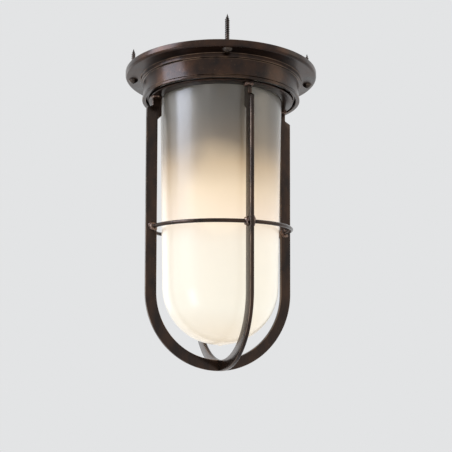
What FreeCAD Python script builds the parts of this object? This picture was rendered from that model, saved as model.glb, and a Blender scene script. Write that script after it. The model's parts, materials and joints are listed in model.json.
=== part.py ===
"""Porch ceiling lantern: a cast bronze housing, a frosted glass jar and a screwed-on strap guard.

Millimetres. The origin is the centre of the ceiling face, +Z is up into the ceiling, and the
lantern hangs down -Z. The two guard straps lie in the XZ and YZ planes.
"""
import FreeCAD, Part
import os
import re
import Sketcher

SIZES = {
    # glass jar: its neck and its length set the size of the lantern
    "glass_neck_radius": 52.7,
    "glass_bend": 184.5,
    "glass_taper": 2.9,
    "glass_wall": 3.0,
    "glass_dome": 49.4,
    "glass_lip_width": 7.3,
    "glass_lip_height": 4.0,
    "glass_gap": 0.6,
    "glass_pip": 2.4,
    "glass_pip_height": 0.6,
    "washer_gap": 1.8,
    "washer_thickness": 1.5,
    "seat_gap": 0.1,
    # housing casting
    "flange_width": 15.0,
    "flange_edge": 5.3,
    "rim_round": 2.0,
    "bead_step": 2.1,
    "bead_drop": 3.4,
    "bead_ease": 0.8,
    "drum_wall": 2.5,
    "drum_lip": 0.7,
    "lip_height": 2.6,
    "lip_ease": 0.8,
    "mouth_chamfer": 0.4,
    "casting_wall": 3.5,
    "shelf_reach": 2.5,
    "shelf_top": 9.0,
    "shelf_thickness": 3.0,
    # ceiling gasket and ceiling screws
    "gasket_inset": 1.5,
    "gasket_width": 10.0,
    "gasket_recess": 1.2,
    "screw_inset": 6.5,
    "screw_turn": -18.2,
    "screw_shank": 2.2,
    "screw_thread": 1.9,
    "screw_hole_gap": 0.3,
    "screw_head": 4.1,
    "screw_head_height": 2.9,
    "screw_length": 28.0,
    "screw_point": 5.0,
    "slot_width": 1.1,
    "slot_depth": 1.3,
    # guard ring
    "running_gap": 0.3,
    "nose_step": 2.1,
    "nose_height": 3.0,
    "nose_round": 0.8,
    "ring_show": 0.5,
    "ring_drop": 0.5,
    "ring_wall": 4.1,
    "ledge_thickness": 5.4,
    # guard straps and wire
    "strap_depth": 9.5,
    "strap_thickness": 3.2,
    "strap_edge": 0.5,
    "under_gap": 12.0,
    "neck_inset": 0.7,
    "neck_margin": 0.6,
    "notch_height": 6.6,
    "shoulder_step": 5.0,
    "shoulder_drop": 4.6,
    "tab_length": 16.5,
    "tenon_inset": 1.2,
    "mortise_floor": 1.8,
    "braze_height": 2.8,
    "braze_side": 2.4,
    "braze_cover": 1.2,
    "braze_inset": 2.0,
    "wire_inset": 3.4,
    "wire_radius": 1.6,
    "wire_level": 135.0,
    "wire_hole_gap": 0.1,
    "bead_length": 2.6,
    "bead_swell": 1.8,
    "bead_tip": 0.5,
    "bead_gap": 0.2,
    # lamp
    "lamp_base_radius": 13.0,
    "lamp_base_length": 23.0,
    "lamp_base_taper": 2.5,
    "base_wall": 0.5,
    "insulator_step": 4.0,
    "lamp_insulator": 3.2,
    "lamp_contact_radius": 4.6,
    "lamp_contact_height": 1.2,
    "lamp_shoulder_curve": 60.0,
    "lamp_radius": 30.0,
    "lamp_length": 110.0,
    "lamp_wall": 0.8,
    "stem_radius": 4.0,
    "stem_flare_height": 8.0,
    "filament_drop": 19.6,
    "filament_radius": 12.0,
    "filament_wire": 1.0,
    # lampholder and its bracket
    "shell_wall": 0.6,
    "shell_cover": 0.3,
    "shell_rim": 8.0,
    "shell_room": 1.3,
    "skirt_wall": 3.8,
    "skirt_room": 4.0,
    "cap_step": 3.0,
    "holder_roof": 15.0,
    "holder_cap_height": 20.0,
    "holder_round": 2.0,
    "flat_depth": 2.5,
    "terminal_level": 10.0,
    "terminal_depth": 7.0,
    "fixing_inset": 4.5,
    "fixing_depth": 10.0,
    "tongue_width": 7.0,
    "tongue_thickness": 0.6,
    "tongue_reach": 6.5,
    "tongue_step": 2.0,
    "bracket_gap": 4.0,
    "bracket_width": 18.0,
    "bracket_thickness": 2.0,
    "bracket_screw_inset": 5.0,
    "bracket_screw_depth": 2.4,
    "bracket_lip_margin": 15.0,
    "bracket_lip_height": 3.5,
    "bracket_lip_thickness": 1.2,
    "ground_gap": 14.0,
    "ground_length": 6.0,
    "machine_screw": 1.75,
    "machine_head": 3.4,
    "machine_head_height": 2.2,
    "machine_point": 0.5,
}

# derived sizes and levels, written once and shared by the pieces that meet there
LEVELS = {
    # radii, from the glass outwards
    "glass_end_radius": "glass_neck_radius - glass_taper",
    "glass_lip": "glass_neck_radius + glass_lip_width",
    "washer_inner": "glass_neck_radius + washer_gap",
    "ring_bore": "glass_neck_radius + glass_gap",
    "pocket_radius": "glass_lip + glass_gap",
    "thread_radius": "pocket_radius + ring_wall",
    "mouth_radius": "thread_radius + running_gap",
    "drum_radius": "mouth_radius + drum_wall",
    "bead_radius": "drum_radius + bead_step",
    "flange_radius": "drum_radius + flange_width",
    "back_bore": "drum_radius - casting_wall",
    "shelf_bore": "washer_inner - shelf_reach",
    "gasket_outer": "flange_radius - gasket_inset",
    "gasket_inner": "gasket_outer - gasket_width",
    "screw_circle": "flange_radius - screw_inset",
    "nose_radius": "thread_radius - nose_step",
    "neck_inner": "ring_bore + neck_inset",
    "neck_outer": "nose_radius - neck_margin",
    "strap_radius": "neck_outer + shoulder_step",
    "strap_inner": "strap_radius - strap_depth",
    "wire_circle": "strap_inner + wire_inset",
    # levels, from the ceiling down
    "shelf_under": "-shelf_top - shelf_thickness",
    "lip_top": "shelf_under - washer_thickness - seat_gap",
    "lip_under": "lip_top - glass_lip_height",
    "ledge_level": "lip_under - washer_thickness - seat_gap",
    "ring_under": "ledge_level - ledge_thickness",
    "ring_top": "shelf_under - ring_drop",
    "housing_depth": "-ring_under - ring_show",
    "tenon_length": "ledge_thickness - mortise_floor",
    "shoulder_level": "ring_under - notch_height",
    "tab_level": "ring_under - tab_length",
    "strap_bend": "glass_bend + glass_dome + glass_pip_height + under_gap - strap_inner",
    # lampholder and lamp
    "shell_bore": "lamp_base_radius + running_gap",
    "holder_bore": "shell_bore + shell_wall + shell_room",
    "holder_skirt": "holder_bore + skirt_wall",
    "holder_radius": "holder_skirt + cap_step",
    "terminal_flat": "holder_radius - flat_depth",
    "fixing_place": "holder_radius - fixing_inset",
    "ground_place": "holder_radius + ground_gap",
    "roof_level": "-shelf_top - holder_roof",
    "lamp_tip": "roof_level - 2 * tongue_thickness - seat_gap",
    "insulator_top": "lamp_tip - lamp_contact_height",
    "base_top": "insulator_top - lamp_insulator",
    "base_under": "base_top - lamp_base_length",
    "shell_length": "roof_level - base_under + shell_cover",
    "holder_under": "roof_level - shell_length - skirt_room",
    "lamp_end": "lamp_tip - lamp_length",
    "lamp_centre": "lamp_end + lamp_radius",
    "lamp_shoulder_radius": "lamp_radius * sqrt(3) / 2",
    "shoulder_place": "lamp_centre + lamp_radius / 2",
    "lamp_neck": "lamp_base_radius - base_wall",
    "insulator_radius": "lamp_base_radius - insulator_step",
    "neck_top": "base_top - lamp_base_taper",
    "stem_flare": "base_under + 1",
    "stem_end": "lamp_centre + filament_drop",
    # bracket
    "bracket_top": "-shelf_top + bracket_thickness",
    "bracket_end_radius": "back_bore - bracket_gap",
    "bracket_straight": "sqrt(bracket_end_radius ^ 2 - bracket_width ^ 2 / 4)",
    "bracket_screw_circle": "shelf_bore + bracket_screw_inset",
    "bracket_lip_length": "2 * (bracket_screw_circle - bracket_lip_margin)",
}

FUNCTIONS = ("sqrt", "min", "max")
WORD = re.compile(r"[a-z][a-z_]*")
VECTOR = FreeCAD.Vector

doc = FreeCAD.newDocument("ceiling_lantern")
sheet = doc.addObject("Spreadsheet::Sheet", "Sizes")


def expression(text):
    """Turn plain names into references to the sheet's cells."""
    return WORD.sub(lambda word: word[0] if word[0] in FUNCTIONS else "Sizes." + word[0], str(text))


def number(text):
    """The present value of a size expression."""
    return float(sheet.evalExpression(expression(text)))


def fill_sheet():
    """Write the driving sizes as plain numbers and the levels as formulas under them."""
    row = 1
    for name, value in SIZES.items():
        sheet.set(f"A{row}", name)
        sheet.set(f"B{row}", str(value))
        sheet.setAlias(f"B{row}", name)
        row += 1
    doc.recompute()
    for name, formula in LEVELS.items():
        sheet.set(f"A{row}", name)
        sheet.set(f"B{row}", "=" + formula)
        sheet.setAlias(f"B{row}", name)
        doc.recompute()
        row += 1


# ---- sketches and features -------------------------------------------------------------------

def body(label):
    new_body = doc.addObject("PartDesign::Body", label)
    new_body.Label = label
    return new_body


def origin_item(of_body, role):
    return next(item for item in of_body.Origin.OriginFeatures if item.Role == role)


def sketch(of_body, name, plane, offset=None):
    """A sketch on one of the body's own origin planes, raised along its normal by offset."""
    new_sketch = of_body.newObject("Sketcher::SketchObject", name)
    new_sketch.AttachmentSupport = (origin_item(of_body, plane), [""])
    new_sketch.MapMode = "FlatFace"
    if offset is not None:
        new_sketch.setExpression("AttachmentOffset.Base.z", expression(offset))
    return new_sketch


def bind(of_sketch, kind, *where_and_size):
    """Add a dimension and tie it to the sheet."""
    *where, size = where_and_size
    index = of_sketch.addConstraint(Sketcher.Constraint(kind, *where, number(size)))
    of_sketch.setExpression(f"Constraints[{index}]", expression(size))


def arc_between(start, end, radius, side):
    """The minor arc from start to end, its centre left (side 1) or right (side -1) of the chord."""
    chord = end - start
    height = max(radius ** 2 - (chord.Length / 2) ** 2, 0.0) ** 0.5
    normal = VECTOR(-chord.y, chord.x, 0).normalize()
    centre = (start + end) * 0.5 + normal * (height * side)
    middle = centre - normal * (radius * side)
    return Part.Arc(start, middle, end)


def outline(of_sketch, start, steps):
    """A closed outline. A step is (x, y) for a line, or (x, y, radius, side) for an arc."""
    corners = [start] + [step[:2] for step in steps]
    points = [VECTOR(number(x), number(y), 0) for x, y in corners]
    first = of_sketch.GeometryCount
    ends = []
    for index, step in enumerate(steps):
        here, there = points[index], points[index + 1]
        if len(step) == 2:
            geometry = of_sketch.addGeometry(Part.LineSegment(here, there))
            ends.append((1, 2))
        else:
            arc = arc_between(here, there, number(step[2]), step[3])
            geometry = of_sketch.addGeometry(arc)
            ends.append((1, 2) if step[3] > 0 else (2, 1))
    count = len(steps)
    for index in range(count):
        following = (index + 1) % count
        of_sketch.addConstraint(Sketcher.Constraint(
            "Coincident", first + index, ends[index][1], first + following, ends[following][0]))
    for index, step in enumerate(steps):
        place = (-1, 1, first + index, ends[index][1])
        bind(of_sketch, "DistanceX", *place, step[0])
        bind(of_sketch, "DistanceY", *place, step[1])
        if len(step) == 4:
            bind(of_sketch, "Radius", first + index, step[2])


def circle(of_sketch, x, y, radius):
    shape = Part.Circle(VECTOR(number(x), number(y), 0), VECTOR(0, 0, 1), number(radius))
    index = of_sketch.addGeometry(shape)
    bind(of_sketch, "DistanceX", -1, 1, index, 3, x)
    bind(of_sketch, "DistanceY", -1, 1, index, 3, y)
    bind(of_sketch, "Radius", index, radius)


def rectangle(of_sketch, left, bottom, right, top):
    outline(of_sketch, (left, bottom), [(right, bottom), (right, top), (left, top), (left, bottom)])


def feature(of_body, kind, name, profile):
    new_feature = of_body.newObject("PartDesign::" + kind, name)
    new_feature.Profile = profile
    return new_feature


def revolve(of_body, name, profile, axis="V_Axis"):
    turned = feature(of_body, "Revolution", name, profile)
    turned.ReferenceAxis = (profile, [axis])
    turned.Angle = 360
    return turned


def pad(of_body, name, profile, length, symmetric=False):
    raised = feature(of_body, "Pad", name, profile)
    raised.setExpression("Length", expression(length))
    raised.SideType = "Symmetric" if symmetric else "One side"
    return raised


def pocket(of_body, name, profile, length, symmetric=False, upward=False):
    """Cut a pocket and check that it removed material."""
    doc.recompute()
    before = of_body.Shape.Volume
    cut = feature(of_body, "Pocket", name, profile)
    cut.setExpression("Length", expression(length))
    cut.SideType = "Symmetric" if symmetric else "One side"
    cut.Reversed = upward
    doc.recompute()
    if of_body.Shape.Volume > before - 0.01:
        raise RuntimeError(f"{name} cuts nothing")
    return cut


def around(of_body, name, originals, count):
    """Repeat features evenly about the body's own Z axis."""
    pattern = of_body.newObject("PartDesign::PolarPattern", name)
    pattern.Originals = originals
    pattern.Axis = (origin_item(of_body, "Z_Axis"), [""])
    pattern.Angle = 360
    pattern.Occurrences = count
    of_body.Tip = pattern
    return pattern


def turned_body(label, start, steps):
    """A body of revolution about Z from one outline of (radius, level)."""
    new_body = body(label)
    profile = sketch(new_body, label + "_profile", "XZ_Plane")
    outline(profile, start, steps)
    revolve(new_body, label + "_turned", profile)
    return new_body


def washer(label, inner, outer, top, thickness):
    bottom = f"{top} - {thickness}"
    return turned_body(label, (inner, top), [(outer, top), (outer, bottom), (inner, bottom), (inner, top)])


def screws(label, x, seat, head, head_height, shank, length, point, count=1, thread=None):
    """Slotted screws along Z, seated at a level.

    A machine screw has a flat head above its seat. A wood screw has a domed head below it and a
    thread, thinner than its shank, from the ceiling face upwards.
    """
    domed_down = thread is not None
    away = "-" if domed_down else ""
    crown = f"{seat} + {away}{head_height}"
    tip = f"{seat} - {away}{length}"
    dome = f"({head} ^ 2 + {head_height} ^ 2) / (2 * {head_height})"
    top = [(x, crown, dome, -1)] if domed_down else [(f"{x} + {head}", crown), (x, crown)]
    width = thread if domed_down else shank
    neck = [(f"{x} + {thread}", "0"), (f"{x} + {shank}", "0")] if domed_down else []
    group = body(label)
    profile = sketch(group, label + "_profile", "XZ_Plane")
    outline(profile, (x, crown), [(x, tip), (f"{x} + {width}", f"{tip} + {away}{point}")] + neck + [
        (f"{x} + {shank}", seat),
        (f"{x} + {head}", seat),
    ] + top)
    centre_line(profile, x)
    turned_screw = revolve(group, label + "_turned", profile, "Axis0")
    slot = sketch(group, label + "_slot_outline", "XY_Plane", crown)
    rectangle(slot, f"{x} - {head}", "-slot_width / 2", f"{x} + {head}", "slot_width / 2")
    cut = pocket(group, label + "_slot", slot, "slot_depth", upward=domed_down)
    if count > 1:
        around(group, label + "_pattern", [turned_screw, cut], count)
    return group


def centre_line(of_sketch, x):
    """A construction line along the sketch's own vertical, to turn a profile about."""
    line = Part.LineSegment(VECTOR(number(x), 0, 0), VECTOR(number(x), 10, 0))
    index = of_sketch.addGeometry(line, True)
    of_sketch.addConstraint(Sketcher.Constraint("Vertical", index))
    bind(of_sketch, "DistanceX", -1, 1, index, 1, x)
    bind(of_sketch, "DistanceY", -1, 1, index, 1, "0")
    bind(of_sketch, "DistanceY", index, 1, index, 2, "10")


def drill(of_body, name, plane, offset, x, y, radius, depth, count=1):
    """A round hole, repeated about the body's Z axis where count is more than one."""
    hole = sketch(of_body, name + "_outline", plane, offset)
    circle(hole, x, y, radius)
    cut = pocket(of_body, name, hole, depth)
    if count > 1:
        around(of_body, name + "_pattern", [cut], count)
    return cut


def turn_with_casting(piece):
    """Turn a piece about the lantern's axis by the angle between the screws and the straps."""
    piece.Placement = FreeCAD.Placement(VECTOR(0, 0, 0), FreeCAD.Rotation(VECTOR(0, 0, 1), number("screw_turn")))
    return piece


# ---- housing ---------------------------------------------------------------------------------

def housing_casting():
    """Flange, bead and drum in one casting, with the shelf that seats the glass washer."""
    casting = turned_body("housing_casting", ("shelf_bore", "-shelf_top"), [
        ("back_bore", "-shelf_top"),
        ("back_bore", "0"),
        ("gasket_inner", "0"),
        ("gasket_inner", "-gasket_recess"),
        ("gasket_outer", "-gasket_recess"),
        ("gasket_outer", "0"),
        ("flange_radius", "0"),
        ("flange_radius", "-flange_edge + rim_round"),
        ("flange_radius - rim_round", "-flange_edge", "rim_round", -1),
        ("bead_radius", "-flange_edge"),
        ("bead_radius", "-flange_edge - bead_drop + bead_ease"),
        ("bead_radius - bead_ease", "-flange_edge - bead_drop"),
        ("drum_radius", "-flange_edge - bead_drop"),
        ("drum_radius", "-housing_depth + lip_height"),
        ("drum_radius + drum_lip", "-housing_depth + lip_height - drum_lip"),
        ("drum_radius + drum_lip", "-housing_depth + lip_ease"),
        ("drum_radius + drum_lip - lip_ease", "-housing_depth"),
        ("mouth_radius + mouth_chamfer", "-housing_depth"),
        ("mouth_radius", "-housing_depth + mouth_chamfer"),
        ("mouth_radius", "shelf_under"),
        ("shelf_bore", "shelf_under"),
        ("shelf_bore", "-shelf_top"),
    ])
    drill(casting, "ceiling_holes", "XY_Plane", "0", "screw_circle", "0",
          "screw_shank + screw_hole_gap", "flange_edge", 4)
    drill(casting, "bracket_holes", "XY_Plane", "-shelf_top", "bracket_screw_circle", "0",
          "machine_screw", "bracket_screw_depth", 2)
    return turn_with_casting(casting)


def ceiling_gasket():
    gasket = washer("ceiling_gasket", "gasket_inner", "gasket_outer", "0", "gasket_recess")
    drill(gasket, "gasket_holes", "XY_Plane", "0", "screw_circle", "0",
          "screw_shank + screw_hole_gap", "gasket_recess", 4)
    return turn_with_casting(gasket)


def ceiling_screws():
    """Wood screws through the flange, standing out of the ceiling face."""
    group = screws("ceiling_screws", "screw_circle", "-flange_edge", "screw_head", "screw_head_height",
                   "screw_shank", "screw_length", "screw_point", 4, thread="screw_thread")
    return turn_with_casting(group)


def upper_washer():
    return washer("upper_glass_washer", "washer_inner", "glass_lip", "shelf_under", "washer_thickness")


# ---- lampholder ------------------------------------------------------------------------------

def bracket():
    """Pressed strap across the casting's shelf, its long edges turned up."""
    strap = body("lampholder_bracket")
    plate = sketch(strap, "bracket_outline", "XY_Plane", "-shelf_top")
    outline(plate, ("-bracket_straight", "-bracket_width / 2"), [
        ("bracket_straight", "-bracket_width / 2"),
        ("bracket_straight", "bracket_width / 2", "bracket_end_radius", 1),
        ("-bracket_straight", "bracket_width / 2"),
        ("-bracket_straight", "-bracket_width / 2", "bracket_end_radius", 1),
    ])
    pad(strap, "bracket_plate", plate, "bracket_thickness")
    lips = sketch(strap, "bracket_lip_outline", "XY_Plane", "bracket_top")
    for low, high in (("-bracket_width / 2", "-bracket_width / 2 + bracket_lip_thickness"),
                      ("bracket_width / 2 - bracket_lip_thickness", "bracket_width / 2")):
        rectangle(lips, "-bracket_lip_length / 2", low, "bracket_lip_length / 2", high)
    pad(strap, "bracket_lips", lips, "bracket_lip_height")
    hole = "machine_screw + screw_hole_gap"
    drill(strap, "bracket_ends", "XY_Plane", "bracket_top", "bracket_screw_circle", "0", hole, "bracket_thickness", 2)
    drill(strap, "bracket_middle", "XY_Plane", "bracket_top", "fixing_place", "0", hole, "bracket_thickness", 2)
    drill(strap, "ground_hole", "XY_Plane", "bracket_top", "ground_place", "0", "machine_screw", "bracket_thickness")
    return turn_with_casting(strap)


def machine_screws(label, x, length, count=1):
    group = screws(label, x, "bracket_top", "machine_head", "machine_head_height",
                   "machine_screw", length, "machine_point", count)
    return turn_with_casting(group)


def lampholder_body():
    """Porcelain body: a cap with two terminal flats over a plain skirt."""
    holder = turned_body("lampholder_body", ("holder_bore", "holder_under"), [
        ("holder_bore", "roof_level"),
        ("0", "roof_level"),
        ("0", "-shelf_top"),
        ("holder_radius - holder_round", "-shelf_top"),
        ("holder_radius", "-shelf_top - holder_round"),
        ("holder_radius", "-shelf_top - holder_cap_height"),
        ("holder_skirt", "-shelf_top - holder_cap_height - holder_radius + holder_skirt"),
        ("holder_skirt", "holder_under + holder_round"),
        ("holder_skirt - holder_round", "holder_under"),
        ("holder_bore", "holder_under"),
    ])
    flats = sketch(holder, "terminal_flat_outline", "XY_Plane", "-shelf_top - holder_round")
    rectangle(flats, "-machine_head * 2.2", "-holder_radius - 1", "machine_head * 2.2", "-terminal_flat")
    flat = pocket(holder, "terminal_flat_cut", flats, "holder_cap_height - 2 * holder_round")
    around(holder, "terminal_flats", [flat], 2)
    drill(holder, "terminal_holes", "XZ_Plane", "terminal_flat", "0", "-shelf_top - terminal_level",
          "machine_screw", "terminal_depth", 2)
    drill(holder, "fixing_holes", "XY_Plane", "-shelf_top", "fixing_place", "0",
          "machine_screw", "fixing_depth - bracket_thickness", 2)
    return turn_with_casting(holder)


def terminal_screw(label, half_turn):
    """A wiring screw on one of the lampholder's two flats."""
    screw = body(label)
    level = "-shelf_top - terminal_level"
    profile = sketch(screw, label + "_profile", "XY_Plane", level)
    crown = "-terminal_flat - machine_head_height"
    outline(profile, ("0", crown), [
        ("machine_head * 0.7", crown),
        ("machine_head", "-terminal_flat - machine_head_height * 0.6"),
        ("machine_head", "-terminal_flat"),
        ("machine_screw", "-terminal_flat"),
        ("machine_screw", "-terminal_flat + terminal_depth"),
        ("0", "-terminal_flat + terminal_depth"),
        ("0", crown),
    ])
    revolve(screw, label + "_turned", profile)
    slot = sketch(screw, label + "_slot_outline", "XZ_Plane", "terminal_flat + machine_head_height")
    rectangle(slot, "-machine_head", f"{level} - slot_width / 2", "machine_head", f"{level} + slot_width / 2")
    pocket(screw, label + "_slot", slot, "slot_depth")
    angle = number("screw_turn") + half_turn
    screw.Placement = FreeCAD.Placement(VECTOR(0, 0, 0), FreeCAD.Rotation(VECTOR(0, 0, 1), angle))
    return screw


def lampholder_shell():
    """Brass shell that takes the lamp's base, hung from the porcelain roof by its inner rim."""
    return turned_body("lampholder_shell", ("shell_rim", "roof_level"), [
        ("shell_bore + shell_wall", "roof_level"),
        ("shell_bore + shell_wall", "roof_level - shell_length"),
        ("shell_bore", "roof_level - shell_length"),
        ("shell_bore", "roof_level - shell_wall"),
        ("shell_rim", "roof_level - shell_wall"),
        ("shell_rim", "roof_level"),
    ])


def centre_contact():
    """Sprung tongue: one end fixed to the roof, the other set down onto the lamp's tip."""
    tongue = body("centre_contact")
    profile = sketch(tongue, "tongue_profile", "XZ_Plane")
    down = "roof_level - tongue_thickness"
    outline(profile, ("-tongue_reach", "roof_level"), [
        ("-tongue_step", "roof_level"),
        ("tongue_step / 2", down),
        ("tongue_reach", down),
        ("tongue_reach", "roof_level - 2 * tongue_thickness"),
        ("tongue_step / 2 - 0.3", "roof_level - 2 * tongue_thickness"),
        ("-tongue_step - 0.3", down),
        ("-tongue_reach", down),
        ("-tongue_reach", "roof_level"),
    ])
    pad(tongue, "tongue", profile, "tongue_width", symmetric=True)
    return turn_with_casting(tongue)


# ---- lamp ------------------------------------------------------------------------------------

def lamp_envelope():
    """Frosted glass bulb: a neck in the base, a concave shoulder and a round end."""
    inside = "lamp_wall"
    return turned_body("lamp_envelope", (f"lamp_neck - {inside}", "neck_top"), [
        ("lamp_neck", "neck_top"),
        ("lamp_neck", "base_under"),
        ("lamp_shoulder_radius", "shoulder_place", "lamp_shoulder_curve", 1),
        ("0", "lamp_end", "lamp_radius", -1),
        ("0", f"lamp_end + {inside}"),
        (f"lamp_shoulder_radius - {inside} * 0.866", f"shoulder_place - {inside} * 0.5",
         f"lamp_radius - {inside}", 1),
        (f"lamp_neck - {inside}", "base_under", "lamp_shoulder_curve + lamp_wall", -1),
        (f"lamp_neck - {inside}", "neck_top"),
    ])


def lamp_base():
    """Thin brass base shell, drawn in at the top round the insulator."""
    return turned_body("lamp_screw_base", ("lamp_neck", "base_under"), [
        ("lamp_base_radius", "base_under"),
        ("lamp_base_radius", "base_top - lamp_base_taper"),
        ("insulator_radius", "base_top"),
        ("insulator_radius - base_wall", "base_top"),
        ("lamp_neck", "base_top - lamp_base_taper"),
        ("lamp_neck", "base_under"),
    ])


def lamp_insulator():
    return turned_body("lamp_insulator", ("0", "base_top"), [
        ("0", "insulator_top"),
        ("lamp_contact_radius + 1", "insulator_top"),
        ("insulator_radius - base_wall", "base_top + 0.4"),
        ("insulator_radius - base_wall", "base_top"),
        ("0", "base_top"),
    ])


def lamp_contact():
    return turned_body("lamp_contact", ("0", "insulator_top"), [
        ("0", "lamp_tip"),
        ("lamp_contact_radius * 0.6", "lamp_tip"),
        ("lamp_contact_radius", "insulator_top"),
        ("0", "insulator_top"),
    ])


def lamp_stem():
    """Glass stem: a flare sealed to the neck and a post that carries the filament."""
    return turned_body("lamp_stem", ("0", "stem_flare"), [
        ("lamp_neck - lamp_wall", "stem_flare"),
        ("stem_radius", "stem_flare - stem_flare_height"),
        ("stem_radius", "stem_end + 1"),
        ("stem_radius - 1", "stem_end"),
        ("0", "stem_end"),
        ("0", "stem_flare"),
    ])


def lamp_filament():
    """Two lead wires spread from the stem's end, with the filament strung between their tips."""
    wire = body("lamp_filament")
    profile = sketch(wire, "filament_outline", "XZ_Plane")
    for inset in ("0", "filament_wire"):
        root, tip = f"stem_radius - 1 - {inset}", f"filament_radius - 2 * {inset}"
        high, low = f"stem_end - {inset}", f"lamp_centre + {inset}"
        outline(profile, (f"-({root})", high), [
            (f"-({tip})", low), (tip, low), (root, high), (f"-({root})", high)])
    pad(wire, "filament_bent", profile, "filament_wire", symmetric=True)
    return wire


# ---- glass -----------------------------------------------------------------------------------

def glass_jar():
    """Blown jar with a flat lip, a slight taper, a round bottom and the pip of the mould."""
    dome = "((glass_end_radius ^ 2 + glass_dome ^ 2) / (2 * glass_dome))"
    end = "-glass_bend - glass_dome"
    jar = turned_body("glass_jar", ("glass_neck_radius - glass_wall", "lip_top"), [
        ("glass_lip", "lip_top"),
        ("glass_lip", "lip_under"),
        ("glass_neck_radius", "lip_under"),
        ("glass_end_radius", "-glass_bend"),
        ("0", end, dome, -1),
        ("0", f"{end} + glass_wall"),
        ("glass_end_radius - glass_wall", "-glass_bend", f"{dome} - glass_wall", 1),
        ("glass_neck_radius - glass_wall", "lip_top"),
    ])
    pip = sketch(jar, "pip_profile", "XZ_Plane")
    outline(pip, ("0", f"{end} + glass_wall / 2"), [
        ("glass_pip", f"{end} + glass_wall / 2"),
        ("glass_pip", f"{end} + 0.2"),
        ("glass_pip / 2", f"{end} - glass_pip_height"),
        ("0", f"{end} - glass_pip_height"),
        ("0", f"{end} + glass_wall / 2"),
    ])
    revolve(jar, "pip", pip)
    return jar


def lower_washer():
    return washer("lower_glass_washer", "washer_inner", "glass_lip", "lip_under", "washer_thickness")


# ---- guard -----------------------------------------------------------------------------------

def guard_ring():
    """Screwed ring that lifts the glass onto its seat, mortised underneath for the straps."""
    ring = turned_body("guard_ring", ("ring_bore", "ring_under"), [
        ("nose_radius - nose_round", "ring_under"),
        ("nose_radius", "ring_under + nose_round"),
        ("nose_radius", "ring_under + nose_height"),
        ("thread_radius", "ring_under + nose_height"),
        ("thread_radius", "ring_top"),
        ("pocket_radius", "ring_top"),
        ("pocket_radius", "ledge_level"),
        ("ring_bore", "ledge_level"),
        ("ring_bore", "ring_under"),
    ])
    mortise = sketch(ring, "mortise_outline", "XY_Plane", "ring_under")
    rectangle(mortise, "neck_inner + tenon_inset", "-strap_thickness / 2",
              "neck_outer - tenon_inset", "strap_thickness / 2")
    cut = pocket(ring, "mortise", mortise, "tenon_length", upward=True)
    around(ring, "mortises", [cut], 4)
    return ring


def side_outline(sign):
    """One leg of a strap from the outside of its bend up and round to the inside of its bend."""
    return [
        (f"{sign}strap_radius", "shoulder_level - shoulder_drop"),
        (f"{sign}neck_outer", "shoulder_level"),
        (f"{sign}neck_outer", "ring_under"),
        (f"{sign}neck_inner", "ring_under"),
        (f"{sign}neck_inner", "tab_level"),
        (f"{sign}strap_inner", "tab_level - strap_radius + strap_depth + neck_inner"),
        (f"{sign}strap_inner", "-strap_bend"),
    ]


def guard_strap(label, plane, lap_from_above):
    """A flat bar on edge bent into a U, necked and tenoned at both ends, halved where it crosses."""
    strap = body(label)
    profile = sketch(strap, label + "_outline", plane)
    bottom = "-strap_bend - strap_radius"
    right = side_outline("")
    left = side_outline("-")
    steps = right + [
        ("0", f"{bottom} + strap_depth", "strap_inner", -1),
        ("-strap_inner", "-strap_bend", "strap_inner", -1),
    ]
    steps += list(reversed(left))[1:]
    steps += [
        ("-strap_radius", "-strap_bend"),
        ("0", bottom, "strap_radius", 1),
        ("strap_radius", "-strap_bend", "strap_radius", 1),
    ]
    outline(profile, ("strap_radius", "-strap_bend"), steps)
    bar = pad(strap, label + "_bar", profile, "strap_thickness", symmetric=True)
    doc.recompute()
    ease = strap.newObject("PartDesign::Chamfer", label + "_eased")
    ease.Base = (bar, broad_faces(bar.Shape))
    ease.setExpression("Size", expression("strap_edge"))
    tenons = sketch(strap, label + "_tenon_outline", "XY_Plane", "ring_under - strap_edge")
    for low, high in (("neck_inner + tenon_inset", "neck_outer - tenon_inset"),
                      ("-neck_outer + tenon_inset", "-neck_inner - tenon_inset")):
        half = "strap_thickness / 2"
        corners = (low, f"-{half}", high, half) if plane == "XZ_Plane" else (f"-{half}", low, half, high)
        rectangle(tenons, *corners)
    pad(strap, label + "_tenons", tenons, "tenon_length + strap_edge")
    wire_holes = sketch(strap, label + "_wire_holes_outline", plane)
    for sign in ("", "-"):
        circle(wire_holes, f"{sign}wire_circle", "-wire_level", "wire_radius + wire_hole_gap")
    pocket(strap, label + "_wire_holes", wire_holes, "strap_thickness * 2", symmetric=True)
    lap = sketch(strap, label + "_lap_outline", plane)
    middle = f"{bottom} + strap_depth / 2"
    over = f"{bottom} + strap_depth + 1" if lap_from_above else f"{bottom} - 1"
    low, high = (middle, over) if lap_from_above else (over, middle)
    rectangle(lap, "-strap_thickness / 2", low, "strap_thickness / 2", high)
    pocket(strap, label + "_lap", lap, "strap_thickness * 2", symmetric=True)
    return strap


def broad_faces(shape):
    """Names of the two largest faces: the flat sides of a bar."""
    ranked = sorted(range(len(shape.Faces)), key=lambda index: -shape.Faces[index].Area)
    return [f"Face{index + 1}" for index in ranked[:2]]


def guard_wire():
    """Round wire ring threaded through the four legs."""
    wire = doc.addObject("Part::Torus", "guard_wire_ring")
    wire.Label = "guard_wire_ring"
    wire.setExpression("Radius1", expression("wire_circle"))
    wire.setExpression("Radius2", expression("wire_radius"))
    wire.setExpression("Placement.Base.z", expression("-wire_level"))
    return wire


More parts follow.
